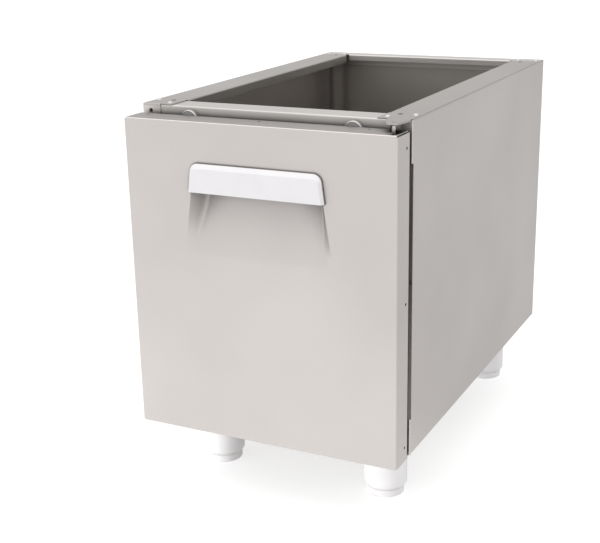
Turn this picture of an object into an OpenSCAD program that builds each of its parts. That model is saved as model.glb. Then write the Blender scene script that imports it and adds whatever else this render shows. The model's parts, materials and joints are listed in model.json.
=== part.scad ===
// Under-counter base cabinet in folded stainless sheet: open top, one lift-off door
// with a pressed grip recess, magnetic catches and four height-adjustable feet.
// Millimetres, +Z up, door towards -Y. The origin lies on the floor under the middle.

/* [Cabinet body] */
// Width over the side panels
body_w = 400; // [360:10:800]
// Depth from the front of the stiles to the back panel
body_d = 619; // [480:1:700]
// Height of the body without its feet
body_h = 459; // [380:1:600]
// Sheet thickness of the body
sheet = 1; // [0.8:0.1:1.5]
// Outside radius of every fold
fold_r = 2; // [1.8:0.1:3]
// Width of the front and rear stiles
stile_w = 30; // [24:0.5:36]
// Depth of the lip behind each stile
stile_lip = 15; // [8:1:25]
// Width of the folds at the top and bottom of the side panels
side_fold = 18; // [15:1:21]

/* [Top rails] */
// Width of the side rails on top
side_rail_w = 48; // [46:1:70]
// Height of the turned-down lip along the opening
side_lip_h = 14; // [8:1:25]
// Depth of the front rail
front_rail_d = 39.5; // [36:0.5:70]
// Height of the face of the front rail
front_rail_h = 45; // [40:1:70]
// Depth of the rear rail
rear_rail_d = 29; // [26:1:36]
// Height of the lip of the rear rail
rear_lip_h = 10; // [8:1:20]
// Free gap at each end of the turned-down lips
lip_end_gap = 2.5; // [1:0.5:5]
// Width of the visible joints between rails and stiles
seam = 0.6; // [0.3:0.1:1.2]
// How far the side rails stay inside the outer faces
rail_inset = 1.6; // [0.4:0.1:2]

/* [Floor and base] */
// Height of the folded floor above the bottom edge
floor_h = 30; // [22:1:45]
// Depth of the folded edges of the back panel
back_fold = 12; // [8:1:14]
// Width of the two channels that carry the feet
channel_w = 84; // [80:1:110]
// Thickness of the channels
channel_t = 1.5; // [1.2:0.1:3]

/* [Fixings] */
// Diameter of the holes that a top unit is bolted to
top_hole_d = 7; // [5:0.5:9]
// Distance of those holes from the sides
top_hole_side = 30; // [24:1:34]
// Distance of the front pair from the front of the stiles
top_hole_front = 33.5; // [32:0.5:60]
// Distance of the rear pair from the back
top_hole_rear = 39.5; // [36:0.5:60]
// Diameter of the hole near the top of each stile
stile_hole_d = 6; // [4:0.5:8]
// Shank diameter of the dome-headed screws
screw_d = 3.9; // [3:0.1:5]
// Head diameter of the dome-headed screws
screw_head_d = 8.6; // [7:0.1:10]
// Height of the screw domes
screw_head_h = 2.5; // [2:0.1:4]
// Radial clearance of a screw in its hole
screw_clear = 0.15; // [0.1:0.05:0.4]

/* [Feet] */
// Clear height under the body
foot_h = 100; // [80:1:150]
// Diameter of the foot sleeve
foot_d = 63; // [50:1:70]
// Diameter of the adjustable foot
insert_d = 54.5; // [44:0.5:60]
// Height of the adjustable foot below the sleeve
insert_h = 10.6; // [8:0.1:20]
// Height of the open joint between foot and sleeve
foot_joint = 0.8; // [0.4:0.1:2]
// Diameter of the stem of the adjustable foot
stem_d = 38; // [30:1:42]
// Length of the stem inside the sleeve
stem_l = 62; // [50:1:66]
// Radial clearance of the stem in its sleeve
stem_clear = 0.08; // [0.04:0.01:0.1]
// Distance of the foot centres from the side
foot_side = 65; // [60:1:100]
// Distance of the foot centres from front and back
foot_end = 72; // [60:1:120]
// Diameter of the mounting flange of the sleeve
foot_flange_d = 79; // [70:1:84]
// Thickness of that flange
foot_flange_t = 4; // [3:0.5:8]

/* [Door] */
// Thickness of the door
door_t = 40; // [38:0.5:44]
// Gap between the door and the stiles
door_gap = 8; // [5:0.1:10]
// How far the door stays inside the body on each side
door_side = 1; // [0.5:0.5:3]
// Distance from the top of the body down to the door
door_top = 12; // [11:0.5:30]
// How far the door reaches below the body
door_drop = 1; // [0:0.5:4]
// Sheet thickness of the door
door_sheet = 1; // [0.8:0.1:1.5]
// Depth of the folded edges of the inner door panel
inner_fold = 14; // [12:1:20]

/* [Grip] */
// Distance from the top of the door to the top of the grip
grip_top = 55.4; // [45:0.1:90]
// Height of the white grip hood
grip_h = 38.6; // [36:0.1:60]
// Width of the hood at its lower edge
grip_w = 201; // [150:1:220]
// How much each side of the hood leans in over its height
grip_lean = 5.5; // [2:0.5:10]
// How far the hood stands off the door
grip_out = 7; // [5:0.5:12]
// Height of the bevel along the top of the hood
grip_bevel = 6; // [4:0.5:10]
// Wall thickness of the hood
grip_wall = 1.6; // [1.2:0.1:3]
// Thickness of the dark gasket behind the hood
gasket_t = 2; // [1:0.5:3]
// How far the gasket shows round the hood
gasket_show = 0.7; // [0:0.1:2]
// Distance of the hood screws from the middle
grip_screw_x = 60; // [40:1:66]
// Distance of the hood screws below the top of the hood
grip_screw_drop = 3.6; // [3.4:0.1:4.2]
// Depth of the pressed recess under the hood
recess_depth = 26; // [15:1:28]
// Height of the pressed recess
recess_h = 121; // [110:1:180]
// Width of the recess at its top
recess_w = 186; // [140:1:190]
// How fast each side of the recess spreads on its way down
recess_spread = 0.155; // [0.05:0.005:0.2]
// Width of the curved side walls of the recess
recess_wall = 17; // [12:1:26]
// Height over which the recess closes under the hood
recess_close = 10; // [8:1:16]
// Height of the ramp that runs out to the door face
recess_ramp = 92; // [70:1:94]

/* [Hinge and catches] */
// Distance of the hinge axis from the side of the body
axis_side = 16; // [14.5:0.5:16.5]
// Distance of the hinge axis from the front of the door
axis_front = 23.5; // [21:0.5:24]
// Diameter of the hinge pins
pin_d = 5; // [4:0.5:6]
// Radial clearance of a pin in its bush
pin_clear = 0.05; // [0.02:0.01:0.1]
// Thickness of the stiffening plate under the top tongue
doubler_t = 1.6; // [1:0.1:2]
// Thickness of the lower hinge bracket
bracket_t = 2.5; // [2:0.5:3]
// Diameter of the magnet cups
magnet_d = 26; // [18:1:30]
// Distance of the magnet cups from the sides of the cabinet
magnet_side = 78.5; // [76:0.5:120]
// Distance of the magnet centres from the top of the body
magnet_drop = 18; // [16:0.2:24]
// Free gap between a magnet cup and the closed door
magnet_gap = 0.3; // [0.2:0.1:1]

/* [Hidden] */
$fn = 48;
eps = 0.01;
seat = 0.3;

// Places along the depth, counted from the middle of the whole object
total_d = grip_out + door_t + door_gap + body_d;
door_y = -total_d / 2 + grip_out;
front_y = door_y + door_t + door_gap;
rear_y = front_y + body_d;

// Heights, counted from the floor
base_z = foot_h;
top_z = foot_h + body_h;
lower_z = top_z - sheet;
door_z = base_z - door_drop;
door_h = body_h - door_top + door_drop;
door_w = body_w - 2 * door_side;
half_w = body_w / 2;
stile_x = half_w - stile_w;
magnet_x = half_w - magnet_side;
rail_x = half_w - side_rail_w;
floor_z = base_z + floor_h;

// Hinge axis
axis_x = half_w - axis_side;
axis_y = door_y + axis_front;

// Screw places on the side rails: distance from the side, from the front or the back
outer_screw_side = 8;
inner_screw_side = 38.4;
outer_screw_front = 31.5;
inner_screw_front = 11.5;
outer_screw_rear = 21;
inner_screw_rear = 21;

// Hole that a screw of the body passes
screw_hole_d = screw_d + 2 * screw_clear;

// Place of the hole near the top of each stile
stile_hole_side = 13.8;
stile_hole_drop = 9.8;

// Slot along the outer corner of each stile
slot_low = 53;
slot_high = 55.7;
slot_deep = 2.6;
slot_in = 3.5;

// Relief in the folds of the side panel beside the hinge tongue
fold_relief = 26;

// Notches in the top and bottom folds of the door around the hinge pins: the lower one
// passes the collar of its pin, the upper one is narrower in front of the pin
notch_left_top = 3.4;
notch_step = 2.5;
notch_ahead = 4.5;
notch_left_bottom = 5.5;
notch_right = 11.5;

// Hinge tongue of the right-hand side rail
tongue_front = 5.5;
tongue_left = 8.9;
tongue_right = 7;
tongue_root = 18;
tongue_side = 2.8;

// The welded end of the upper hinge pin lies this far below the tongue's face
pin_sunk = 0.5;

// The side folds of the door skin end just in front of the face of the inner panel
skin_short = 1;

// The recess starts this far below the top of the hood
recess_under = 8.6;

// Hinge plates and bushes inside the door
plate_t = 3;
plate_in = 4;
bush_d = 10;
bush_rim_d = 14;
bush_rim_t = 1.5;
bush_below = 8;
pin_end = 2;
leg_h = 30;

// Small rivet holes round the edge of the door
rivet_hole_d = 4.2;
rivet_back = 10;
rivet_end = 20.5;
top_rivets = [-0.4475, -0.0175, 0.3725];

// Folded sections: each leg is measured along one face from corner to corner, the
// sheet lies on the left of the path, and a turn is 1 to the left or -1 to the right.

function set_back(turn, r, t) = turn > 0 ? r : r - t;

module quarter_ring(r, t) {
  intersection() {
    difference() {
      circle(r);
      circle(r - t);
    }
    square(r);
  }
}

module fold_section(legs, turns, r, t, i = 0) {
  before = i == 0 ? 0 : set_back(turns[i - 1], r, t);
  after = i == len(turns) ? 0 : set_back(turns[i], r, t);
  flat = legs[i] - before - after;
  if (flat > eps)
    square([flat, t]);
  if (i < len(turns)) {
    back = set_back(turns[i], r, t);
    if (turns[i] > 0) {
      translate([flat, r]) rotate(-90) quarter_ring(r, t);
      translate([flat + r, r]) rotate(90) fold_section(legs, turns, r, t, i + 1);
    } else {
      translate([flat, -back]) quarter_ring(r, t);
      translate([flat + back, -back]) rotate(-90) fold_section(legs, turns, r, t, i + 1);
    }
  }
}

// Turns a section drawn in the depth and height directions to run along the width
module along_width(x_from, x_to) {
  translate([x_from, 0, 0])
    rotate([90, 0, 90])
      linear_extrude(x_to - x_from)
        children();
}

// Turns a section drawn in the width and height directions to run along the depth
module along_depth(y_from, y_to) {
  translate([0, y_to, 0])
    rotate([90, 0, 0])
      linear_extrude(y_to - y_from)
        children();
}

module hole_down(x, y, z, d, deep) {
  translate([x, y, z - deep]) cylinder(h = deep + 1, d = d);
}

function side_screws() = [
  [half_w - outer_screw_side, front_y + outer_screw_front],
  [half_w - outer_screw_side, rear_y - outer_screw_rear],
  [half_w - inner_screw_side, front_y + inner_screw_front],
  [half_w - inner_screw_side, rear_y - inner_screw_rear]
];

function top_holes() = [
  [half_w - top_hole_side, front_y + top_hole_front],
  [half_w - top_hole_side, rear_y - top_hole_rear]
];

// Side panel: stile, side and rear stile folded from one sheet, with short folds
// turned in along the top and the bottom. Drawn for the right-hand side.

module side_panel_section() {
  translate([stile_x, stile_lip])
    rotate(-90)
      fold_section([stile_lip, stile_w, body_d, stile_w, stile_lip], [1, 1, 1, 1], fold_r, sheet);
}

module side_fold_section() {
  translate([half_w - side_fold, 0])
    fold_section([side_fold, fold_r], [1], fold_r, sheet);
}

module side_panel(hinge_side) {
  fold_from = front_y + fold_r + 0.5;
  fold_to = rear_y - fold_r - 0.5;
  difference() {
    union() {
      difference() {
        translate([0, front_y, base_z])
          linear_extrude(body_h - sheet)
            side_panel_section();
        // Both folds replace the straight edge of the side between the two stiles
        for (z = [base_z - eps, lower_z - fold_r])
          translate([half_w - fold_r - eps, fold_from, z])
            cube([fold_r + 1, fold_to - fold_from, fold_r + eps]);
        // On the far side the rail closes over the top of the front stile
        if (!hinge_side)
          translate([stile_x - 1, front_y - 1, top_z - 2 * fold_r + sheet])
            cube([stile_w - fold_r + 1, fold_r + 1, fold_r]);
      }
      along_depth(fold_from, fold_to)
        translate([0, base_z]) side_fold_section();
      along_depth(fold_from, fold_to)
        translate([0, lower_z]) mirror([0, 1]) side_fold_section();
    }
    // Upper fold stays clear of the hinge tongue
    translate([half_w - side_fold - 1, fold_from - 1, lower_z - sheet - eps])
      cube([side_fold + 1 - 2 * fold_r, fold_relief - fold_r, sheet + 1]);
    // Narrow slot along the front corner
    translate([half_w - slot_in, front_y - 1, base_z + slot_low])
      cube([slot_in + 1, slot_deep + 1, body_h - slot_low - slot_high]);
    translate([half_w - stile_hole_side, front_y + sheet + 1, top_z - stile_hole_drop])
      rotate([90, 0, 0])
        cylinder(h = sheet + 2, d = stile_hole_d);
    for (p = side_screws())
      hole_down(p[0], p[1], top_z, screw_hole_d, 3);
    if (hinge_side)
      for (p = bracket_screws())
        hole_down(p[0], p[1], base_z + 2 * sheet, screw_hole_d, 4);
  }
}

module side_panel_right() {
  color("silver") side_panel(true);
}

module side_panel_left() {
  color("silver") mirror([1, 0, 0]) side_panel(false);
}

// Side rail: flat top with a turned-down lip along the opening. Its front end either
// folds down over the stile or runs on as the tongue that holds the upper hinge pin.

module tongue_outline() {
  front = axis_y - tongue_front;
  root = front_y + fold_r + 1;
  polygon([
    [half_w - tongue_side, root],
    [half_w - tongue_side, front_y - 2],
    [axis_x + tongue_right, front + 1],
    [axis_x + tongue_right - 1, front],
    [axis_x - tongue_left + 1, front],
    [axis_x - tongue_left, front + 1],
    [axis_x - tongue_root, front_y],
    [axis_x - tongue_root, root]
  ]);
}

module side_rail(tongue) {
  rail_from = front_y + fold_r + 0.6;
  rail_to = rear_y - rear_rail_d - seam;
  lip_from = front_y + front_rail_d + lip_end_gap;
  lip_to = rail_to - 2 * lip_end_gap;
  corner = fold_r;
  tab = 4;
  difference() {
    union() {
      translate([rail_x + fold_r, rail_from, lower_z])
        cube([side_rail_w - fold_r - rail_inset, rail_to - rail_from, sheet]);
      // Front end that covers the bend of the front rail
      translate([rail_x, front_y + 0.2, lower_z])
        cube([side_rail_w - stile_w - seam, rail_from - front_y, sheet]);
      // Joggled tab that is screwed under the end of the rear rail
      translate([rail_x + tab, rail_to - tab, lower_z - sheet])
        cube([side_rail_w - tab - side_fold - seam, rear_y - stile_lip - 1 - rail_to + tab, sheet]);
      // Turned-down lip, as long as the opening
      along_depth(lip_from, lip_to)
        translate([rail_x, top_z - side_lip_h])
          rotate(90)
            mirror([0, 1])
              fold_section([side_lip_h, fold_r + 1], [1], fold_r, sheet);
      for (span = [[rail_from, lip_from - lip_end_gap], [lip_to + 2 * lip_end_gap - 1, rail_to]])
        translate([rail_x, span[0], lower_z])
          cube([fold_r + 1, span[1] - span[0], sheet]);
      if (tongue) {
        translate([0, 0, lower_z])
          linear_extrude(sheet)
            tongue_outline();
      } else {
        along_width(stile_x + 0.5, half_w - corner)
          translate([front_y, top_z - 2 * fold_r + sheet])
            rotate(90)
              mirror([0, 1])
                fold_section([2 * fold_r - sheet, fold_r + 1], [1], fold_r, sheet);
      }
    }
    for (p = side_screws())
      hole_down(p[0], p[1], top_z, screw_hole_d, 3);
    for (p = top_holes())
      hole_down(p[0], p[1], top_z, top_hole_d, 3);
    if (tongue)
      hole_down(axis_x, axis_y, top_z, pin_d + 2 * pin_clear, 3);
  }
}

module side_rail_right() {
  color("gainsboro") side_rail(true);
}

module side_rail_left() {
  color("gainsboro") mirror([1, 0, 0]) side_rail(false);
}

// Front rail between the stiles, under the ends of the side rails

module front_rail() {
  lip = side_lip_h - sheet;
  low = lower_z - front_rail_h;
  tab = 12;
  // The joint beside the hinge tongue is closed up
  tight = 0.1;
  color("gainsboro")
    difference() {
      union() {
        along_width(-stile_x + seam, stile_x - tight)
          translate([front_y + tab, low])
            mirror([1, 0])
              fold_section([tab, front_rail_h, front_rail_d, lip], [1, 1, 1], fold_r, sheet);
        // Ribs that are welded to the lips of the stiles
        for (s = [-1, 1]) {
          end = s < 0 ? seam : tight;
          translate([s * (stile_x - end - sheet / 2), front_y + (sheet + tab) / 2, low + front_rail_h / 2])
            cube([sheet, tab - sheet, front_rail_h - 2 * sheet], center = true);
          translate([s * (stile_x - (end + sheet) / 2), front_y + tab - 4, low + front_rail_h / 2])
            cube([end + sheet, 8, front_rail_h - 6 * sheet], center = true);
        }
      }
      for (s = [-1, 1]) {
        // The lip ends inside the side rails, and the corners leave the bolt holes free
        translate([s * (stile_x + rail_x - lip_end_gap) / 2, front_y + front_rail_d, lower_z])
          cube([stile_x - rail_x + lip_end_gap + 0.1, 2 * fold_r, 2 * lip + 2], center = true);
        translate([s * stile_x, front_y + top_hole_front, lower_z])
          cube([top_hole_d * 3, top_hole_d * 3, 4 * sheet], center = true);
        hole_down(s * (half_w - inner_screw_side), front_y + inner_screw_front, top_z, screw_hole_d, 4);
        translate([s * magnet_x, front_y + sheet + 1, top_z - magnet_drop])
          rotate([90, 0, 0])
            cylinder(h = sheet + 2, d = screw_hole_d);
      }
    }
}

// Rear rail: a flat top over the whole width, a lip towards the opening and a leg that
// lies inside the back panel

module rear_rail() {
  leg = 22;
  back_y = rear_y - sheet;
  rail_front = rear_y - rear_rail_d;
  lip_half = rail_x - lip_end_gap;
  leg_half = stile_x - fold_r - seat;
  end_half = half_w - rail_inset;
  color("gainsboro")
    difference() {
      union() {
        along_width(-lip_half, lip_half)
          translate([rail_front, top_z - rear_lip_h])
            rotate(90)
              mirror([0, 1])
                fold_section([rear_lip_h, rear_rail_d - sheet, leg], [1, 1], fold_r, sheet);
        along_width(-leg_half, leg_half)
          translate([back_y, top_z - leg])
            rotate(90)
              fold_section([leg, rear_rail_d - fold_r - sheet], [1], fold_r, sheet);
        // Flat ends over the side panels
        for (s = [-1, 1]) {
          translate([s * (end_half + lip_half) / 2, rear_y - (rear_rail_d + fold_r + 1) / 2, lower_z + sheet / 2])
            cube([end_half - lip_half, rear_rail_d - fold_r - 1, sheet], center = true);
          translate([s * (end_half + leg_half) / 2, rear_y - 3, lower_z + sheet / 2])
            cube([end_half - leg_half, 5, sheet], center = true);
        }
      }
      for (s = [-1, 1])
        for (p = side_screws())
          hole_down(s * p[0], p[1], top_z, screw_hole_d, 4);
    }
}

// Back panel between the rear stiles, with its side edges folded forward

module back_panel() {
  color("lightgray")
    translate([0, rear_y, base_z])
      linear_extrude(body_h - fold_r - sheet)
        translate([stile_x, -back_fold])
          rotate(90)
            fold_section([back_fold, 2 * stile_x, back_fold], [1, 1], fold_r, sheet);
}

// Raised floor: an inverted tray that stands on the bottom folds of the side panels

module floor_panel() {
  inner_x = half_w - sheet;
  front_edge = front_y + stile_lip + 0.5;
  rear_edge = rear_y - sheet - back_fold - 0.2;
  leg = floor_h - sheet;
  side_leg = floor_h - fold_r;
  color("lightgray")
    union() {
      // Face between the stiles and the flat floor
      along_width(-stile_x + 0.2, stile_x - 0.2)
        translate([front_y, base_z])
          rotate(90)
            mirror([0, 1])
              fold_section([floor_h, rear_edge - front_y, leg], [1, 1], fold_r, sheet);
      // Floor between the side panels, turned down along both sides
      along_depth(front_edge, rear_y - stile_lip - 0.5)
        translate([-inner_x, base_z + fold_r])
          rotate(90)
            mirror([0, 1])
              fold_section([side_leg, 2 * inner_x, side_leg], [1, 1], fold_r, sheet);
    }
}

// Channels under the floor that carry the feet

module base_channel(y_mid) {
  inner_x = half_w - sheet - fold_r - 0.1;
  rise = floor_h - 2 * sheet;
  color("lightgray")
    difference() {
      along_width(-inner_x, inner_x)
        translate([y_mid - channel_w / 2, base_z + sheet + rise])
          rotate(-90)
            fold_section([rise, channel_w, rise], [1, 1], fold_r + channel_t - sheet, channel_t);
      for (s = [-1, 1])
        translate([s * foot_x(), y_mid, base_z])
          foot_hole_pattern(screw_hole_d, 4);
      // Room for the screws of the lower hinge bracket
      for (p = bracket_screws())
        hole_down(p[0], p[1], base_z + 4 * sheet, screw_hole_d, 5);
    }
}

module base_channel_front() {
  base_channel(front_y + foot_end);
}

module base_channel_rear() {
  base_channel(rear_y - foot_end);
}

// Feet

function foot_x() = half_w - foot_side;
function foot_bolt_r() = (foot_flange_d + foot_d) / 4;

module foot_hole_pattern(d, h) {
  for (a = [45:90:315])
    rotate(a)
      translate([foot_bolt_r(), 0, -1])
        cylinder(h = h + 2, d = d, $fn = 24);
}

module foot_sleeve() {
  low = insert_h + foot_joint;
  high = foot_h + sheet;
  bevel_h = 5.5;
  bevel_in = foot_d / 2 - insert_d / 2 - 0.4;
  roof = 6;
  color("white")
    difference() {
      union() {
        rotate_extrude()
          polygon([
            [0, low], [foot_d / 2 - bevel_in, low], [foot_d / 2, low + bevel_h],
            [foot_d / 2, high], [0, high]
          ]);
        translate([0, 0, high - foot_flange_t])
          cylinder(h = foot_flange_t, d = foot_flange_d);
      }
      translate([0, 0, low - 1])
        cylinder(h = high - roof - low + 1, d = stem_d + 2 * stem_clear);
      translate([0, 0, high - foot_flange_t])
        foot_hole_pattern(screw_hole_d, foot_flange_t);
    }
}

module foot_insert() {
  rim = 1.6;
  neck_d = insert_d - 5;
  color("whitesmoke")
    rotate_extrude()
      difference() {
        polygon([
          [0, 0], [insert_d / 2 - rim, 0], [insert_d / 2 - rim * 0.3, rim * 0.3],
          [insert_d / 2, rim], [insert_d / 2, insert_h],
          [neck_d / 2, insert_h], [neck_d / 2, insert_h + foot_joint - 0.05],
          [stem_d / 2, insert_h + foot_joint - 0.05],
          [stem_d / 2, insert_h + foot_joint + stem_l - 1.5],
          [stem_d / 2 - 1.5, insert_h + foot_joint + stem_l], [0, insert_h + foot_joint + stem_l]
        ]);
        // Hollow of the moulded stem, open at the top
        translate([0, insert_h + 6])
          square([stem_d / 2 - 4, stem_l]);
      }
}

module at_foot(right, rear) {
  translate([right ? foot_x() : -foot_x(), rear ? rear_y - foot_end : front_y + foot_end, 0])
    children();
}

module foot_sleeve_front_left() { at_foot(false, false) foot_sleeve(); }
module foot_sleeve_front_right() { at_foot(true, false) foot_sleeve(); }
module foot_sleeve_rear_left() { at_foot(false, true) foot_sleeve(); }
module foot_sleeve_rear_right() { at_foot(true, true) foot_sleeve(); }
module foot_insert_front_left() { at_foot(false, false) foot_insert(); }
module foot_insert_front_right() { at_foot(true, false) foot_insert(); }
module foot_insert_rear_left() { at_foot(false, true) foot_insert(); }
module foot_insert_rear_right() { at_foot(true, true) foot_insert(); }

// Fasteners

module dome_screw(length) {
  r = screw_head_d / 2;
  sphere_r = (r * r + screw_head_h * screw_head_h) / (2 * screw_head_h);
  intersection() {
    translate([0, 0, screw_head_h - sphere_r]) sphere(sphere_r);
    cylinder(h = screw_head_h + 1, r = r);
  }
  translate([0, 0, -length]) cylinder(h = length + eps, d = screw_d, $fn = 24);
}

module rail_screws() {
  color("whitesmoke")
    for (s = [-1, 1])
      for (p = side_screws())
        translate([s * p[0], p[1], top_z])
          dome_screw(6);
}

module foot_screws() {
  low = foot_h + sheet - foot_flange_t;
  color("whitesmoke")
    for (s = [-1, 1])
      for (y = [front_y + foot_end, rear_y - foot_end])
        translate([s * foot_x(), y, low])
          for (a = [45:90:315])
            rotate(a)
              translate([foot_bolt_r(), 0, 0])
                mirror([0, 0, 1]) pan_screw(foot_flange_t + channel_t + 3);
}

// Low-headed screw, its head above the plane z = 0
module pan_screw(length) {
  head_d = min(screw_head_d, 7);
  head_h = 1.8;
  cylinder(h = head_h, d1 = head_d, d2 = head_d - 1.2, $fn = 32);
  translate([0, 0, -length]) cylinder(h = length + eps, d = screw_d, $fn = 24);
}

// Hinge: the upper pin is welded into the tongue, the lower one into a bracket that
// is screwed under the body. The door lifts off the lower pin.

module hinge_doubler_top() {
  color("gainsboro")
    difference() {
      translate([0, 0, lower_z - doubler_t])
        linear_extrude(doubler_t)
          intersection() {
            tongue_outline();
            translate([0, axis_y - tongue_front])
              square([half_w, front_y - 0.4 - axis_y + tongue_front]);
          }
      hole_down(axis_x, axis_y, top_z, pin_d + 2 * pin_clear, 4);
    }
}

module hinge_pin_top() {
  shoulder = lower_z - doubler_t;
  end_z = door_z + door_h - plate_in - plate_t - bush_below - pin_end;
  flare = 1.5;
  color("silver")
    translate([axis_x, axis_y, 0])
      rotate_extrude()
        polygon([
          [0, end_z], [pin_d / 2 - 1, end_z], [pin_d / 2, end_z + 1],
          [pin_d / 2, shoulder - flare], [pin_d / 2 + flare, shoulder],
          [pin_d / 2, shoulder], [pin_d / 2, top_z - pin_sunk], [0, top_z - pin_sunk]
        ]);
}

module bracket_outline() {
  side = 5;
  wide = 18.5;
  long = 72;
  polygon([
    [half_w - side, front_y + long],
    [half_w - side, axis_y - 7],
    [half_w - side - wide, axis_y - 7],
    [half_w - side - wide, front_y + long]
  ]);
}

function bracket_screws() = [for (v = [18, 40, 62]) [half_w - 10.5, front_y + v]];

module hinge_bracket_bottom() {
  step = 3;
  web_y = front_y + 0.5;
  color("gainsboro")
    difference() {
      union() {
        translate([0, 0, base_z - bracket_t])
          linear_extrude(bracket_t)
            intersection() {
              bracket_outline();
              translate([0, web_y]) square([half_w, 100]);
            }
        translate([0, 0, base_z - step - bracket_t])
          linear_extrude(bracket_t)
            intersection() {
              bracket_outline();
              translate([0, axis_y - 10]) square([half_w, web_y + bracket_t - axis_y + 10]);
            }
        translate([0, 0, base_z - step - bracket_t])
          linear_extrude(step + bracket_t)
            intersection() {
              bracket_outline();
              translate([0, web_y]) square([half_w, bracket_t]);
            }
      }
      translate([axis_x, axis_y, base_z - step - bracket_t - 1])
        cylinder(h = bracket_t + 2, d = pin_d + 2 * pin_clear);
      for (p = bracket_screws())
        translate([p[0], p[1], base_z - bracket_t - 1])
          cylinder(h = bracket_t + 2, d = screw_hole_d);
    }
}

module hinge_pin_bottom() {
  low = base_z - 3 - bracket_t;
  shoulder = base_z - 3;
  collar_top = door_z + plate_in - bush_rim_t - seat;
  end_z = door_z + plate_in + plate_t + bush_below + pin_end;
  color("silver")
    translate([axis_x, axis_y, 0])
      rotate_extrude()
        polygon([
          [0, low], [pin_d / 2, low], [pin_d / 2, shoulder], [pin_d / 2 + 2, shoulder],
          [pin_d / 2 + 2, collar_top], [pin_d / 2, collar_top],
          [pin_d / 2, end_z - 1], [pin_d / 2 - 1, end_z], [0, end_z]
        ]);
}

module hinge_screws() {
  color("whitesmoke")
    for (p = bracket_screws())
      translate([p[0], p[1], base_z - bracket_t])
        mirror([0, 0, 1]) pan_screw(bracket_t + 5);
}

// Magnetic catches on the face of the front rail

module magnet_cup(s) {
  rim = 1.4;
  deep = door_gap - magnet_gap;
  sink = 1;
  color("silver")
    translate([s * magnet_x, front_y, top_z - magnet_drop])
      rotate([90, 0, 0])
        difference() {
          rotate_extrude()
            polygon([
              [0, 0], [magnet_d / 2, 0], [magnet_d / 2, deep - 1.4],
              [magnet_d / 2 - 1, deep], [magnet_d / 2 - rim, deep],
              [magnet_d / 2 - rim, sink], [0, sink]
            ]);
          translate([0, 0, -1]) cylinder(h = sink + 2, d = screw_d);
        }
}

module magnet_disc(s) {
  rim = 1.4;
  deep = door_gap - magnet_gap;
  color("slategray")
    translate([s * magnet_x, front_y - 1, top_z - magnet_drop])
      rotate([90, 0, 0])
        cylinder(h = deep - 1 - 0.7, d = magnet_d - 2 * rim - 0.1);
}

// Threaded stud in the floor of each cup, with a round nut behind the rail
module magnet_studs() {
  nut_d = 2 * screw_d;
  nut_h = 3;
  color("silver")
    for (s = [-1, 1])
      translate([s * magnet_x, front_y, top_z - magnet_drop])
        rotate([-90, 0, 0]) {
          translate([0, 0, -1]) cylinder(h = sheet + nut_h + 3, d = screw_d);
          translate([0, 0, sheet]) cylinder(h = nut_h, d = nut_d);
        }
}

module magnet_cup_left() { magnet_cup(-1); }
module magnet_cup_right() { magnet_cup(1); }
module magnet_left() { magnet_disc(-1); }
module magnet_right() { magnet_disc(1); }

// Door. Its pieces are drawn from the front lower edge of the door: y runs back from
// its face and z up from its bottom edge.

module in_door() {
  translate([0, door_y, door_z]) children();
}

// Height of the recess, from its low end to its top, inside the door
recess_top = door_h - grip_top - recess_under;
recess_low = recess_top - recess_h;

// Half width of the recess at height z
function recess_half(z) = recess_w / 2 + (recess_top - z) * recess_spread;

function clip(v) = max(0, min(1, v));

// Ramp that leaves the door face gently and ends flat under the hood
function ramp(v) = pow(sin(90 * clip(v)), 1.6);

// Lower of two values, with the change from one to the other rounded off
function soft_min(a, b, k) = let(h = max(k - abs(a - b), 0) / k) min(a, b) - h * h * k / 4;

// Wall that slopes straight in from a firm edge and blends into the floor
function wall(v) = soft_min(1.35 * max(v, 0), 1, 0.3);

// Depth of the pressed recess below the door face
function recess_y(x, z) =
  recess_depth
  * ramp((z - recess_low) / recess_ramp)
  * wall((recess_half(z) - abs(x)) / recess_wall)
  * wall((recess_top - z) / recess_close);

// Direction square to the recess, into the door
function recess_normal(x, z) =
  let(
    h = 0.15,
    gx = (recess_y(x + h, z) - recess_y(x - h, z)) / (2 * h),
    gz = (recess_y(x, z + h) - recess_y(x, z - h)) / (2 * h),
    n = [-gx, 1, -gz]
  ) n / norm(n);

// Grid lines across the recess, close together where its wall curves
wall_steps = [0, 0.17, 0.34, 0.51, 0.58, 0.65, 0.72, 0.79, 0.87, 0.96, 1.1];
wall_count = len(wall_steps);
function grid_x(z, edge) = concat(
  [-edge],
  [for (v = wall_steps) -recess_half(z) + v * recess_wall],
  [-recess_half(z) / 2, 0, recess_half(z) / 2],
  [for (i = [wall_count - 1:-1:0]) recess_half(z) - wall_steps[i] * recess_wall],
  [edge]
);
ramp_rows = 26;
function grid_z(low, high) = concat(
  [low],
  [for (i = [0:ramp_rows]) recess_low + recess_ramp * i / ramp_rows],
  [for (i = [wall_count - 1:-1:0]) recess_top - recess_close * wall_steps[i]],
  [high]
);

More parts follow.
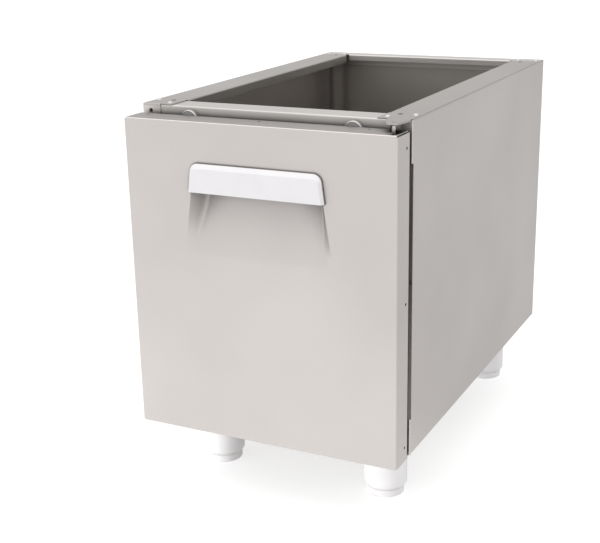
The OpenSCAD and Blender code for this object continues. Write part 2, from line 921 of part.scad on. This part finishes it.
// The pressed tile: front and rear faces of the sheet as one closed skin
module recess_tile(edge, low, high) {
  rows = grid_z(low, high);
  nx = len(grid_x(0, edge));
  nz = len(rows);
  front = [for (z = rows) for (x = grid_x(z, edge)) [x, recess_y(x, z), z]];
  rear = [for (z = rows) for (x = grid_x(z, edge))
    [x, recess_y(x, z), z] + door_sheet * recess_normal(x, z)];
  n = nx * nz;
  function at(i, j) = j * nx + i;
  faces = concat(
    [for (j = [0:nz - 2]) for (i = [0:nx - 2]) [at(i, j), at(i, j + 1), at(i + 1, j)]],
    [for (j = [0:nz - 2]) for (i = [0:nx - 2]) [at(i + 1, j), at(i, j + 1), at(i + 1, j + 1)]],
    [for (j = [0:nz - 2]) for (i = [0:nx - 2]) [n + at(i, j), n + at(i + 1, j), n + at(i, j + 1)]],
    [for (j = [0:nz - 2]) for (i = [0:nx - 2])
      [n + at(i + 1, j), n + at(i + 1, j + 1), n + at(i, j + 1)]],
    [for (i = [0:nx - 2]) [at(i, 0), at(i + 1, 0), n + at(i + 1, 0), n + at(i, 0)]],
    [for (i = [0:nx - 2]) [at(i + 1, nz - 1), at(i, nz - 1), n + at(i, nz - 1), n + at(i + 1, nz - 1)]],
    [for (j = [0:nz - 2]) [at(0, j + 1), at(0, j), n + at(0, j), n + at(0, j + 1)]],
    [for (j = [0:nz - 2]) [at(nx - 1, j), at(nx - 1, j + 1), n + at(nx - 1, j + 1), n + at(nx - 1, j)]]
  );
  polyhedron(concat(front, rear), faces);
}

tile_edge = recess_w / 2 + recess_h * recess_spread + 5;
tile_low = recess_low - 6;
tile_high = recess_top + 1.6;

// Place and size of the two moulded bosses that hold the hood
boss_z = door_h - grip_top - grip_screw_drop;
boss_d = 4.6;

module door_skin() {
  half = door_w / 2;
  side_run = door_t - skin_short;
  r = fold_r;
  lap = 0.8;
  color("gainsboro")
    in_door()
      difference() {
        union() {
          difference() {
            union() {
              // Front and the two side folds
              translate([0, 0, r])
                linear_extrude(door_h - 2 * r)
                  translate([-half, door_t - skin_short])
                    rotate(-90)
                      fold_section([side_run, 2 * half, side_run], [1, 1], r, door_sheet);
              // Front and the top and bottom folds
              along_width(-half + r, half - r)
                translate([side_run, door_h])
                  rotate(180)
                    fold_section([side_run, door_h, side_run], [1, 1], r, door_sheet);
            }
            translate([-tile_edge + lap, -1, tile_low + lap])
              cube([2 * (tile_edge - lap), door_sheet + 2, tile_high - tile_low - 2 * lap]);
          }
          recess_tile(tile_edge, tile_low, tile_high);
        }
        // Top and bottom folds are cut away round the hinge pins
        translate([axis_x - notch_left_bottom, r, -1])
          cube([notch_left_bottom + notch_right, door_t, r + 2]);
        translate([axis_x + notch_step, r, door_h - r - 1])
          cube([notch_right - notch_step, door_t, r + 2]);
        translate([axis_x - notch_left_top, axis_front - notch_ahead, door_h - r - 1])
          cube([notch_left_top + notch_right, door_t, r + 2]);
        for (z = [rivet_end, door_h / 2, door_h - rivet_end])
          for (s = [-1, 1])
            translate([s * half, door_t - rivet_back, z])
              rotate([0, 90, 0])
                cylinder(h = 6, d = rivet_hole_d, center = true, $fn = 24);
        for (v = top_rivets)
          translate([v * body_w, door_t - rivet_back, door_h])
            cylinder(h = 6, d = rivet_hole_d, center = true, $fn = 24);
        for (s = [-1, 1])
          translate([s * grip_screw_x, -1, boss_z])
            rotate([-90, 0, 0])
              cylinder(h = door_sheet + 2, d = boss_d + 0.4, $fn = 32);
      }
}

module door_inner_panel() {
  half = door_w / 2 - door_sheet;
  high = door_h - 2 * door_sheet;
  r = fold_r;
  color("lightgray")
    in_door()
      translate([0, 0, door_sheet])
        difference() {
          union() {
            translate([0, 0, r])
              linear_extrude(high - 2 * r)
                translate([half, door_t - inner_fold])
                  rotate(90)
                    fold_section([inner_fold, 2 * half, inner_fold], [1, 1], r, door_sheet);
            along_width(-half + r, half - r)
              translate([door_t - inner_fold, 0])
                fold_section([inner_fold, high, inner_fold], [1, 1], r, door_sheet);
          }
          for (q = [[-1, notch_left_bottom + 1], [high - r - 1, notch_left_top + 1]])
            translate([axis_x - q[1], 0, q[0]])
              cube([q[1] + notch_right, door_t - r, r + 2]);
          for (z = [rivet_end, door_h / 2, door_h - rivet_end])
            for (s = [-1, 1])
              translate([s * half, door_t - rivet_back, z - door_sheet])
                rotate([0, 90, 0])
                  cylinder(h = 6, d = rivet_hole_d, center = true, $fn = 24);
          for (v = top_rivets)
            translate([v * body_w, door_t - rivet_back, high])
              cylinder(h = 6, d = rivet_hole_d, center = true, $fn = 24);
        }
}

// Angle plates inside the door that hold the hinge bushes

module door_hinge_plate() {
  half = door_w / 2 - door_sheet;
  front_part = door_t - inner_fold - seat;
  deep = door_t - 2 * door_sheet;
  wide = 34;
  leg_t = 2.5;
  difference() {
    union() {
      translate([half - wide, fold_r, 0])
        cube([wide, front_part - fold_r, plate_t]);
      translate([half - wide, fold_r, 0])
        cube([wide - door_sheet - seat, deep - fold_r, plate_t]);
      translate([half - wide, door_sheet, -leg_h + plate_t])
        cube([wide - fold_r + door_sheet, leg_t, leg_h]);
      translate([half - leg_t, fold_r, -leg_h + plate_t])
        cube([leg_t, front_part - fold_r, leg_h]);
    }
    translate([axis_x, axis_front, -1])
      cylinder(h = plate_t + 2, d = bush_d + 0.1);
  }
}

module door_hinge_plate_top() {
  color("gray")
    in_door()
      translate([0, 0, door_h - plate_in - plate_t])
        door_hinge_plate();
}

module door_hinge_plate_bottom() {
  color("gray")
    in_door()
      translate([0, 0, plate_in + plate_t])
        mirror([0, 0, 1]) door_hinge_plate();
}

// Bush that ends at the plane z = 0 or at its rim above it; the lower one carries the
// door on its rim, the upper one has its rim under the plate

module hinge_bush(rim_z) {
  top = max(0, rim_z + bush_rim_t);
  color("ivory")
    difference() {
      union() {
        translate([0, 0, rim_z])
          cylinder(h = bush_rim_t, d = bush_rim_d);
        translate([0, 0, -plate_t - bush_below])
          cylinder(h = plate_t + bush_below + top, d = bush_d);
      }
      translate([0, 0, -plate_t - bush_below - 1])
        cylinder(h = plate_t + bush_below + top + 2, d = pin_d + 2 * pin_clear);
    }
}

module hinge_bush_top() {
  translate([axis_x, axis_y, door_z + door_h - plate_in])
    hinge_bush(-plate_t - bush_rim_t);
}

module hinge_bush_bottom() {
  translate([axis_x, axis_y, door_z + plate_in])
    mirror([0, 0, 1]) hinge_bush(0);
}

// Steel plates inside the inner panel that the magnets pull on

module strike_plates() {
  size = magnet_d + 6;
  color("dimgray")
    for (s = [-1, 1])
      translate([s * magnet_x - size / 2, door_y + door_t - door_sheet - 1.5, 0])
        translate([0, 0, door_z + door_h - door_sheet - fold_r - size - 1])
          cube([size, 1.5, size]);
}

// Grip hood. Its outline leans in towards the top and has rounded upper corners.

grip_low = door_h - grip_top - grip_h;

function arc(c, r, from, to, steps = 8) =
  [for (i = [0:steps]) let(a = from + (to - from) * i / steps) c + r * [cos(a), sin(a)]];

// Points of the outline with its side line moved in by a gap
function grip_points(gap, top_gap, r) =
  let(
    lean = atan2(grip_lean, grip_h),
    low = grip_w / 2 - gap,
    high = grip_h - top_gap,
    side = function(z) low - z * tan(lean),
    cx = side(high - r) - r * cos(lean) + r * sin(lean) * tan(lean),
    c = [cx, high - r]
  )
  concat(
    [[-low, 0], [low, 0]],
    arc(c, r, 0, 90),
    arc([-c[0], c[1]], r, 90, 180)
  );

module grip_outline(gap = 0, top_gap = 0, r = 12) {
  polygon(grip_points(gap, top_gap, r));
}

// Stands an outline upright, growing out of the door face
module out_of_door(out) {
  translate([0, 0, grip_low])
    rotate([90, 0, 0])
      linear_extrude(out)
        children();
}

module handle_gasket() {
  color("dimgray")
    in_door()
      difference() {
        out_of_door(gasket_t) grip_outline(-gasket_show, -gasket_show, 12 + gasket_show);
        translate([0, 1, -1])
          out_of_door(gasket_t + 2) grip_outline(7, 9, 8);
        for (s = [-1, 1])
          translate([s * grip_screw_x, 0, boss_z])
            rotate([90, 0, 0])
              cylinder(h = 3 * gasket_t, d = boss_d + 0.4, center = true, $fn = 32);
      }
}

module hood_form(shrink) {
  wall = shrink;
  hull() {
    translate([0, -gasket_t + (shrink > 0 ? 0.5 : 0), 0])
      out_of_door(0.5) grip_outline(wall, wall, 12 - wall);
    translate([0, -grip_out + 0.5 + wall, 0])
      out_of_door(0.5) grip_outline(3 + wall, grip_bevel + wall * 0.6, 9 - wall);
  }
}

module handle_hood() {
  boss_in = 1.6;
  color("white")
    in_door()
      difference() {
        union() {
          difference() {
            hood_form(0);
            translate([0, 0, -grip_wall]) hood_form(grip_wall);
          }
          for (s = [-1, 1])
            translate([s * grip_screw_x, -gasket_t - boss_in, boss_z])
              rotate([-90, 0, 0])
                cylinder(h = gasket_t + boss_in + door_sheet - 0.1, d = boss_d, $fn = 32);
        }
        for (s = [-1, 1])
          translate([s * grip_screw_x, -gasket_t, boss_z])
            rotate([-90, 0, 0])
              cylinder(h = 10, d = 2.4, $fn = 24);
      }
}

module handle_screws() {
  shank = 2.6;
  color("silver")
    in_door()
      for (s = [-1, 1])
        translate([s * grip_screw_x, door_sheet, boss_z])
          rotate([-90, 0, 0]) {
            cylinder(h = 1.6, d = 7, $fn = 32);
            translate([0, 0, -shank]) cylinder(h = shank + eps, d = 2.2, $fn = 24);
          }
}

side_panel_left();
side_panel_right();
side_rail_left();
side_rail_right();
front_rail();
rear_rail();
back_panel();
floor_panel();
base_channel_front();
base_channel_rear();
hinge_doubler_top();
hinge_pin_top();
hinge_bracket_bottom();
hinge_pin_bottom();
magnet_cup_left();
magnet_cup_right();
magnet_left();
magnet_right();
magnet_studs();
foot_sleeve_front_left();
foot_sleeve_front_right();
foot_sleeve_rear_left();
foot_sleeve_rear_right();
foot_insert_front_left();
foot_insert_front_right();
foot_insert_rear_left();
foot_insert_rear_right();
rail_screws();
foot_screws();
hinge_screws();
door_skin();
door_inner_panel();
door_hinge_plate_top();
door_hinge_plate_bottom();
hinge_bush_top();
hinge_bush_bottom();
strike_plates();
handle_gasket();
handle_hood();
handle_screws();
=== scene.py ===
"""Under-counter stainless cabinet with one door, an open top and four round feet.

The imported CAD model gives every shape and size, down to the folds and the screws. This
script gives the finishes, the studio and the camera. Metres, +Z up, door towards -Y.
"""
import json
import math

import bpy
from mathutils import Matrix, Vector

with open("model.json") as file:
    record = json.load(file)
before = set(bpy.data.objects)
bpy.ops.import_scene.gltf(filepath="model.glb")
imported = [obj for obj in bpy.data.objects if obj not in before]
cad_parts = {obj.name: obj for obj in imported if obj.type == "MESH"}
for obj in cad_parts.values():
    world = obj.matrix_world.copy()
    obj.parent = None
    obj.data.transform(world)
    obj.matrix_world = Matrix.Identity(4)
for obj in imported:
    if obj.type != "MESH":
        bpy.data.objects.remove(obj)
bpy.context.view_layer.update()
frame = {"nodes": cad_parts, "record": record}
nodes = frame["nodes"]
bpy.ops.object.select_all(action="DESELECT")

WHITE = (1, 1, 1, 1)

# Directions of the brushing
SIDEWAYS, FRONT_TO_BACK, UPWARDS = 0, 1, 2

# Brushing: real scratches are about 0.05 mm wide. They are drawn 0.6 mm wide and 90 times
# as long, so that they show at this distance. The clouds are about 200 mm wide.
SCRATCH_WIDTH = 0.0006
SCRATCH_LENGTH = 90
SCRATCH_DEPTH = 0.0002
SCRATCH_SHARE = 0.35
SHEET_CLOUDS = 5.0
SHEET_TONES = (0.45, 0.9)
SHEET_ROUGHNESS_SPREAD = 0.05

# Moulding: the spark-eroded grain of the mould is 1.2 mm coarse, and the mottle 30 mm
MOULD_GRAIN = 0.0012
MOULD_GRAIN_DEPTH = 0.0001
MOULD_GRAIN_STRENGTH = 0.08
MOULD_CLOUDS = 30.0
MOULD_TONES = (0.3, 0.7)
MOULD_ROUGHNESS_SPREAD = 0.04

# Painted shade in creases: the open share of the space over a point where the painted shade is fullest
# and where it ends
CREASE_DARK, CREASE_CLEAR = 0.3, 0.9
CREASE_SAMPLES = 16

# How far the door's sheet looks up, from 0 on its face to 1 on its top edge, where the painted
# highlight on the bend and the painted shade on the top edge lie
FACE_ENDS, BEND_STARTS, BEND_ENDS, TOP_STARTS = 0.45, 0.6, 0.85, 0.97


# Colours and nodes

def linear(hex_colour):
    """An sRGB hex colour as the linear numbers that a shader socket takes."""
    parts = [int(hex_colour[i:i + 2], 16) / 255 for i in (1, 3, 5)]
    return [c / 12.92 if c <= 0.04045 else ((c + 0.055) / 1.055) ** 2.4 for c in parts] + [1.0]


def add_node(tree, kind, settings=None, **links):
    """Adds one node with its settings and links.

    Settings are attributes or socket values. Links are socket=source pairs, where i0, i1
    and i2 are sockets by number and an underscore in a name is a space.
    """
    node = tree.nodes.new(kind)
    for key, value in (settings or {}).items():
        if isinstance(key, str) and hasattr(node, key):
            setattr(node, key, value)
        else:
            node.inputs[key].default_value = value
    for key, source in links.items():
        numbered = key[0] == "i" and key[1:].isdigit()
        socket = node.inputs[int(key[1:]) if numbered else key.replace("_", " ")]
        tree.links.new(source, socket)
    return node


def new_material(name):
    """An empty node-based material and its node tree."""
    material = bpy.data.materials.new(name)
    material.use_nodes = True
    tree = material.node_tree
    tree.nodes.clear()
    return material, tree


def two_tones(tree, pattern, dark, light, ends):
    """A pattern's value as a blend of two close sRGB colours."""
    ramp = add_node(tree, "ShaderNodeValToRGB", {}, Fac=pattern)
    for stop, position, colour in zip(ramp.color_ramp.elements, ends, (dark, light)):
        stop.position = position
        stop.color = linear(colour)
    return ramp.outputs["Color"]


def uneven_roughness(tree, pattern, rough, spread):
    """The roughness, a little lower and higher along a pattern."""
    return add_node(tree, "ShaderNodeMapRange", {"To Min": rough - spread, "To Max": rough + spread},
                    Value=pattern).outputs["Result"]


def painted_crease_shade(tree, colour, reach, amount):
    """Painted shade: the colour darker in gaps and close under a ledge, where shade falls, looked for
    as far as the reach.
    """
    space = add_node(tree, "ShaderNodeAmbientOcclusion", {"samples": CREASE_SAMPLES, "Distance": reach})
    level = add_node(tree, "ShaderNodeMapRange",
                     {"From Min": CREASE_DARK, "From Max": CREASE_CLEAR,
                      "To Min": 1 - amount, "To Max": 1.0}, Value=space.outputs["AO"])
    return add_node(tree, "ShaderNodeVectorMath", {"operation": "SCALE"},
                    i0=colour, Scale=level.outputs["Result"]).outputs["Vector"]


def painted_fold_light(tree, colour, bend, top):
    """Painted highlight and painted shade by how far the sheet faces up: an upper bend brighter and the
    edge folded over it duller.

    A ramp ends at 1, so it holds each level as a share of the bend's, the brightest.
    """
    way = add_node(tree, "ShaderNodeTexCoord")
    upward = add_node(tree, "ShaderNodeSeparateXYZ", {}, Vector=way.outputs["Normal"])
    tone = add_node(tree, "ShaderNodeValToRGB", {}, Fac=upward.outputs["Z"])
    stops = tone.color_ramp.elements
    levels = ((FACE_ENDS, 1.0), (BEND_STARTS, bend), (BEND_ENDS, bend), (TOP_STARTS, top))
    stops[0].color = (1.0 / bend, 1.0 / bend, 1.0 / bend, 1)
    for position, level in levels:
        stops.new(position).color = (level / bend, level / bend, level / bend, 1)
    stops[-1].color = (top / bend, top / bend, top / bend, 1)
    brighter = add_node(tree, "ShaderNodeVectorMath", {"operation": "SCALE", "Scale": bend},
                        i0=tone.outputs["Color"])
    return add_node(tree, "ShaderNodeVectorMath", {"operation": "MULTIPLY"}, i0=colour,
                    i1=brighter.outputs["Vector"]).outputs["Vector"]


def satin_steel(name, colour, dark, rough, grain, metallic=1.0, strength=0.05,
                reach=0.02, crease_shade=0.6, fold_highlight_and_shade=None):
    """Stainless sheet brushed with a fine belt: long thin scratches along one direction."""
    material, tree = new_material(name)
    place = add_node(tree, "ShaderNodeTexCoord")
    stretch = [1 / SCRATCH_WIDTH] * 3
    stretch[grain] = 1 / (SCRATCH_WIDTH * SCRATCH_LENGTH)
    lines = add_node(tree, "ShaderNodeMapping", {"Scale": stretch}, Vector=place.outputs["Object"])
    scratch = add_node(tree, "ShaderNodeTexNoise", {"Scale": 1.0, "Detail": 3.0, "Roughness": 0.6},
                       Vector=lines.outputs["Vector"])
    cloud = add_node(tree, "ShaderNodeTexNoise", {"Scale": SHEET_CLOUDS, "Detail": 2.0},
                     Vector=place.outputs["Object"])
    tone = add_node(tree, "ShaderNodeMath", {"operation": "MULTIPLY_ADD", 1: SCRATCH_SHARE},
                    i0=scratch.outputs["Fac"], i2=cloud.outputs["Fac"])
    sheet = two_tones(tree, tone.outputs["Value"], dark, colour, SHEET_TONES)
    # Painted highlight along an upper bend and painted shade on the edge above it
    if fold_highlight_and_shade:
        sheet = painted_fold_light(tree, sheet, *fold_highlight_and_shade)
    rub = uneven_roughness(tree, scratch.outputs["Fac"], rough, SHEET_ROUGHNESS_SPREAD)
    relief = add_node(tree, "ShaderNodeBump", {"Strength": strength, "Distance": SCRATCH_DEPTH},
                      Height=scratch.outputs["Fac"])
    # The base colour carries painted shade in its creases and gaps
    metal = add_node(tree, "ShaderNodeBsdfPrincipled", {"Metallic": metallic},
                     Base_Color=painted_crease_shade(tree, sheet, reach, crease_shade),
                     Roughness=rub, Normal=relief.outputs["Normal"])
    add_node(tree, "ShaderNodeOutputMaterial", {}, Surface=metal.outputs["BSDF"])
    return material


def moulded(name, colour, dark, rough, gloss=0.5, metallic=0.0):
    """Moulded plastic, rubber or magnet stone: an even colour with a faint mottle."""
    material, tree = new_material(name)
    place = add_node(tree, "ShaderNodeTexCoord")
    grain = add_node(tree, "ShaderNodeTexNoise", {"Scale": 1 / MOULD_GRAIN, "Detail": 2.0},
                     Vector=place.outputs["Object"])
    cloud = add_node(tree, "ShaderNodeTexNoise", {"Scale": MOULD_CLOUDS, "Detail": 1.0},
                     Vector=place.outputs["Object"])
    paint = two_tones(tree, cloud.outputs["Fac"], dark, colour, MOULD_TONES)
    rub = uneven_roughness(tree, grain.outputs["Fac"], rough, MOULD_ROUGHNESS_SPREAD)
    relief = add_node(tree, "ShaderNodeBump",
                      {"Strength": MOULD_GRAIN_STRENGTH, "Distance": MOULD_GRAIN_DEPTH},
                      Height=grain.outputs["Fac"])
    skin = add_node(tree, "ShaderNodeBsdfPrincipled",
                    {"Specular IOR Level": gloss, "Metallic": metallic},
                    Base_Color=paint, Roughness=rub, Normal=relief.outputs["Normal"])
    add_node(tree, "ShaderNodeOutputMaterial", {}, Surface=skin.outputs["BSDF"])
    return material


# Finishes

# Belt-brushed upwards: an even warm grey with a soft sheen. The film of wiping and handling
# mirrors less than bare metal. The top bend has a painted highlight, the top edge painted shade,
# and the colour painted shade in its creases and under the hood.
door_steel = satin_steel("satin stainless door skin", "#CFCAC7", "#C7C2BF", 0.50, UPWARDS,
                         metallic=0.8, reach=0.045, crease_shade=0.95, fold_highlight_and_shade=(1.4, 0.66))
# The same sheet, brushed along the side: a little clearer, with painted shade only in its narrow gaps
side_steel = satin_steel("satin stainless side sheet", "#CFCAC7", "#C7C2BF", 0.42, FRONT_TO_BACK,
                         reach=0.012, crease_shade=0.85)
# Brushed along the rail, in a darker copy of the cross rails' colour: painted shade
rail_steel_painted_darker = satin_steel("satin stainless side rails", "#BCB8B4", "#B2AEAA", 0.40, FRONT_TO_BACK)
# Brushed across the cabinet, in a lighter copy of the side rails' colour: painted light
cross_steel_painted_lighter = satin_steel("satin stainless cross rails", "#DAD7D3", "#CECAC7", 0.40, SIDEWAYS)
# As it leaves the mill: flat, greyish brown and without sheen. The three copies differ in tone
# as painted shade and painted light: darkest on the inside walls, lighter on the base and back.
inner_steel = satin_steel("mill finish stainless inside", "#A9A49E", "#9C9791", 0.50, UPWARDS)
back_steel = satin_steel("mill finish stainless back", "#C0BBB5", "#B4AFA9", 0.50, UPWARDS)
base_steel = satin_steel("mill finish stainless base", "#B5B1AC", "#A8A49F", 0.50, SIDEWAYS)
# Zinc plating: a cool, even grey
zinc_steel = satin_steel("zinc plated steel", "#A6A8AA", "#97999B", 0.45, SIDEWAYS)
# Turned on a lathe: nearly white, with small clear highlights
bright_steel = satin_steel("turned bright stainless", "#F2F0EE", "#E6E4E2", 0.30, UPWARDS,
                           strength=0.02)
# Pressed and plated with nickel: smooth, with one highlight round the rim
cup_steel = satin_steel("nickel plated pressing", "#D2D0CD", "#C8C6C3", 0.32, UPWARDS,
                        strength=0.01)
# Rolled domes: a small highlight on each, grey round it
dome_steel = satin_steel("rolled screw heads", "#D6D3CF", "#CAC7C3", 0.24, UPWARDS, strength=0.02)
# Sintered ferrite behind a thin plate: flat mid grey with a faint sheen
magnet_stone = moulded("sintered magnet face", "#9A9B9B", "#8C8D8E", 0.38, metallic=0.3)
# Injection moulded: near white and faintly pink, half matt on the feet, glossier on the hood
foot_plastic = moulded("white moulded polyamide", "#F6F4F5", "#F2F0F1", 0.38)
hood_plastic = moulded("white moulded ABS", "#F3F1F3", "#F0EEF0", 0.30)
# Foam rubber: a brown grey line with no gloss. Its dark line round the hood is partly a real seal
# and partly painted shade at the hood's edge.
gasket_rubber_and_shade = moulded("dark foam rubber", "#857E78", "#7A746E", 0.75, gloss=0.3)
# Nylon without pigment: pale, yellowish and waxy
bush_plastic = moulded("natural nylon", "#DDDAD0", "#D3D0C6", 0.45)

FINISH = {
    "stainless_side": side_steel, "stainless_rail": rail_steel_painted_darker, "stainless_inside": inner_steel,
    "stainless_base": base_steel, "stainless_door": door_steel, "stainless_door_inner": rail_steel_painted_darker,
    "zinc_plate": zinc_steel, "bright_pin": bright_steel, "magnet_cup": cup_steel,
    "magnet": magnet_stone, "foot_sleeve": foot_plastic, "foot_insert": foot_plastic,
    "dome_screws": dome_steel, "inner_screws": zinc_steel, "bush": bush_plastic,
    "gasket": gasket_rubber_and_shade, "hood": hood_plastic,
}
OWN_FINISH = {"front_rail": cross_steel_painted_lighter, "rear_rail": cross_steel_painted_lighter, "back_panel": back_steel}
for part in frame["record"]["subparts"]:
    mesh = nodes[part["node"]].data
    mesh.materials.clear()
    mesh.materials.append(OWN_FINISH.get(part["node"], FINISH[part["material_slot"]]))


# Studio

FLOOR_SIZE = 30
FLOOR_AS_LIGHT = "#DEDEDE"
FLOOR_AS_SEEN = "#BCBCBC"
FLOOR_GLOW = 0.66

# The room by direction: full at the front left, dimmer at the back, brightest overhead
FRONT_LEFT = Vector((-0.45, -0.85, 0.28)).normalized()
ROOM_TURN = (-0.9, 0.7)
ROOM_LEVELS = (0.68, 1.0)
CEILING_HEIGHTS = (0.5, 0.9)
CEILING_LEVELS = (1.0, 1.45)
ROOM_AS_LIGHT, ROOM_AS_SEEN = 0.96, 1.04


def room_level(tree, place):
    """The room's level in the direction of a place: full at the front left."""
    direction = add_node(tree, "ShaderNodeVectorMath", {"operation": "NORMALIZE"}, i0=place)
    towards = add_node(tree, "ShaderNodeVectorMath", {"operation": "DOT_PRODUCT", 1: FRONT_LEFT},
                       i0=direction.outputs["Vector"])
    return add_node(tree, "ShaderNodeMapRange",
                    {"interpolation_type": "SMOOTHSTEP",
                     "From Min": ROOM_TURN[0], "From Max": ROOM_TURN[1],
                     "To Min": ROOM_LEVELS[0], "To Max": ROOM_LEVELS[1]},
                    Value=towards.outputs["Value"]).outputs["Result"]


def seen_directly(tree):
    """1 for what the camera, metal and glass see, 0 for the light that falls on the object."""
    path = add_node(tree, "ShaderNodeLightPath")
    metal = add_node(tree, "ShaderNodeMath", {"operation": "MAXIMUM"},
                     i0=path.outputs["Is Glossy Ray"], i1=path.outputs["Is Transmission Ray"])
    return add_node(tree, "ShaderNodeMath", {"operation": "MAXIMUM"},
                    i0=path.outputs["Is Camera Ray"], i1=metal.outputs["Value"]).outputs["Value"]


bpy.ops.mesh.primitive_plane_add(size=FLOOR_SIZE, location=(0, 0, 0))
floor = bpy.context.object
floor.name = "studio_floor"

# The floor is white to the eye and keeps the shadow; as light it is a matt pale grey
floor_paint, tree = new_material("matt white floor paint")
paint = add_node(tree, "ShaderNodeBsdfDiffuse", {"Color": linear(FLOOR_AS_LIGHT)})
shaded = add_node(tree, "ShaderNodeBsdfDiffuse", {"Color": linear(FLOOR_AS_SEEN)})
glow = add_node(tree, "ShaderNodeEmission", {"Color": WHITE, "Strength": FLOOR_GLOW})
white = add_node(tree, "ShaderNodeAddShader", {},
                 i0=shaded.outputs["BSDF"], i1=glow.outputs["Emission"])
# In metal the floor grows dimmer towards the back, as the room does
place = add_node(tree, "ShaderNodeTexCoord")
black = add_node(tree, "ShaderNodeEmission", {"Strength": 0.0})
in_room = add_node(tree, "ShaderNodeMixShader", {}, Fac=room_level(tree, place.outputs["Object"]),
                   i1=black.outputs["Emission"], i2=white.outputs["Shader"])
eye = add_node(tree, "ShaderNodeLightPath")
mirrored = add_node(tree, "ShaderNodeMixShader", {}, Fac=eye.outputs["Is Camera Ray"],
                    i1=in_room.outputs["Shader"], i2=white.outputs["Shader"])
seen = add_node(tree, "ShaderNodeMixShader", {}, Fac=seen_directly(tree),
                i1=paint.outputs["BSDF"], i2=mirrored.outputs["Shader"])
add_node(tree, "ShaderNodeOutputMaterial", {}, Surface=seen.outputs["Shader"])
floor.data.materials.append(floor_paint)

# The camera sees a plain white world; metal sees the room a little brighter than it lights
world = bpy.data.worlds.new("studio")
bpy.context.scene.world = world
world.use_nodes = True
tree = world.node_tree
tree.nodes.clear()
place = add_node(tree, "ShaderNodeTexCoord")
height = add_node(tree, "ShaderNodeSeparateXYZ", {}, Vector=place.outputs["Generated"])
ceiling = add_node(tree, "ShaderNodeMapRange",
                   {"From Min": CEILING_HEIGHTS[0], "From Max": CEILING_HEIGHTS[1],
                    "To Min": CEILING_LEVELS[0], "To Max": CEILING_LEVELS[1]},
                   Value=height.outputs["Z"])
level = add_node(tree, "ShaderNodeMath", {"operation": "MULTIPLY"},
                 i0=room_level(tree, place.outputs["Generated"]), i1=ceiling.outputs["Result"])
weight = add_node(tree, "ShaderNodeMapRange", {"To Min": ROOM_AS_LIGHT, "To Max": ROOM_AS_SEEN},
                  Value=seen_directly(tree))
strength = add_node(tree, "ShaderNodeMath", {"operation": "MULTIPLY"},
                    i0=level.outputs["Value"], i1=weight.outputs["Result"])
room = add_node(tree, "ShaderNodeBackground", {"Color": WHITE}, Strength=strength.outputs["Value"])
paper = add_node(tree, "ShaderNodeBackground", {"Color": WHITE, "Strength": 1.0})
eye = add_node(tree, "ShaderNodeLightPath")
backdrop = add_node(tree, "ShaderNodeMixShader", {}, Fac=eye.outputs["Is Camera Ray"],
                    i1=room.outputs["Background"], i2=paper.outputs["Background"])
add_node(tree, "ShaderNodeOutputWorld", {}, Surface=backdrop.outputs["Shader"])

# Name, place, aim, width and height, watts and spread in degrees of each soft box. The two
# narrow ones stand low and lift the feet out of the cabinet's shade.
SOFT_BOXES = (
    ("top_front", (-0.4, -1.0, 2.2), (0, 0, 0.3), (1.2, 1.2), 4.0, 180),
    ("low_fill_left", (-0.9, -1.2, 0.10), (-0.1, -0.2, 0.04), (1.0, 0.12), 0.68, 30),
    ("low_fill_right", (1.2, -0.9, 0.10), (0.1, -0.1, 0.04), (1.0, 0.12), 0.10, 30),
)
for name, box_place, aim, size, watts, spread in SOFT_BOXES:
    lamp = bpy.data.lights.new(name, "AREA")
    lamp.shape = "RECTANGLE"
    lamp.size, lamp.size_y = size
    lamp.energy = watts
    lamp.spread = math.radians(spread)
    holder = bpy.data.objects.new(name, lamp)
    bpy.context.collection.objects.link(holder)
    holder.location = box_place
    holder.rotation_euler = (Vector(aim) - Vector(box_place)).to_track_quat("-Z", "Y").to_euler()
    holder.visible_glossy = False


# Camera, solved from the photograph: its place, its turns in radians and its lens

CAMERA_PLACE = (0.6949966, -1.5844614, 0.8046261)
YAW, PITCH, ROLL = -0.46659, 0.30686, -0.02119
FOCAL_LENGTH_IN_PIXELS, PICTURE_WIDTH_IN_PIXELS = 1130.378, 600
SENSOR_WIDTH_IN_MM = 36

ahead = Vector((math.sin(YAW) * math.cos(PITCH), math.cos(YAW) * math.cos(PITCH), -math.sin(PITCH)))
right = Vector((math.cos(YAW), -math.sin(YAW), 0))
up = right.cross(ahead)
level_right = right * math.cos(ROLL) + up * math.sin(ROLL)
level_up = up * math.cos(ROLL) - right * math.sin(ROLL)
lens = bpy.data.cameras.new("camera")
lens.sensor_width = SENSOR_WIDTH_IN_MM
lens.lens = FOCAL_LENGTH_IN_PIXELS * SENSOR_WIDTH_IN_MM / PICTURE_WIDTH_IN_PIXELS
lens.clip_start, lens.clip_end = 0.05, 60
camera = bpy.data.objects.new("camera", lens)
bpy.context.collection.objects.link(camera)
turn = Matrix((level_right, level_up, -ahead)).transposed().to_4x4()
camera.matrix_world = Matrix.Translation(CAMERA_PLACE) @ turn
bpy.context.scene.camera = camera
bpy.context.scene.view_settings.view_transform = "Standard"
